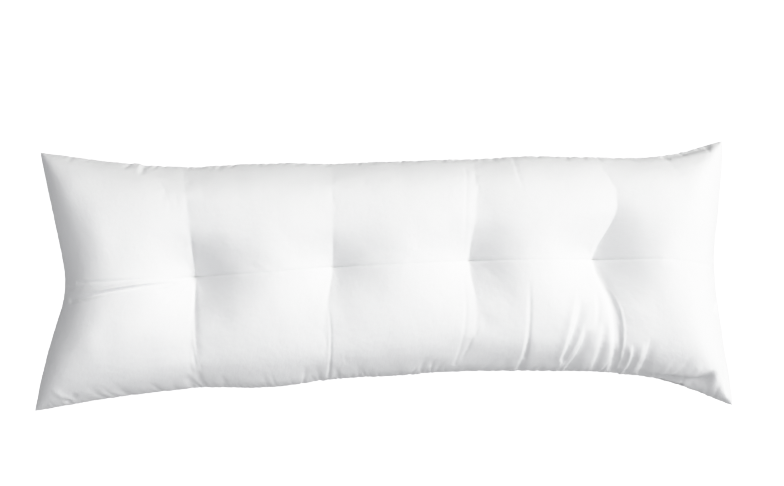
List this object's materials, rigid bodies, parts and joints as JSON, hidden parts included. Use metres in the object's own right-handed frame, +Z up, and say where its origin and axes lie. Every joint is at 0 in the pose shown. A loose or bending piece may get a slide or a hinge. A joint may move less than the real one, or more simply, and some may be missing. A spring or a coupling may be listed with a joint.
{
  "type": "body pillow",
  "caption": "Long filled body pillow of plain white cloth, tufted along its middle, lying on its back, for sleeping, propping or nursing support.",
  "frame": {"origin": "centre of the pillow's box in plan, on the surface that it lies on", "axes": "+X along the pillow to its right end, +Y across it to the far long side, +Z up out of its front face"},
  "size_m": [1.3482, 0.522, 0.166],
  "materials": {
    "cover_cloth": "plain woven white cotton cover, matt with a faint sheen, sewn all round and tufted with white thread"
  },
  "bodies": {
    "root": {"pillow": "cover_cloth"}
  },
  "joints": []
}
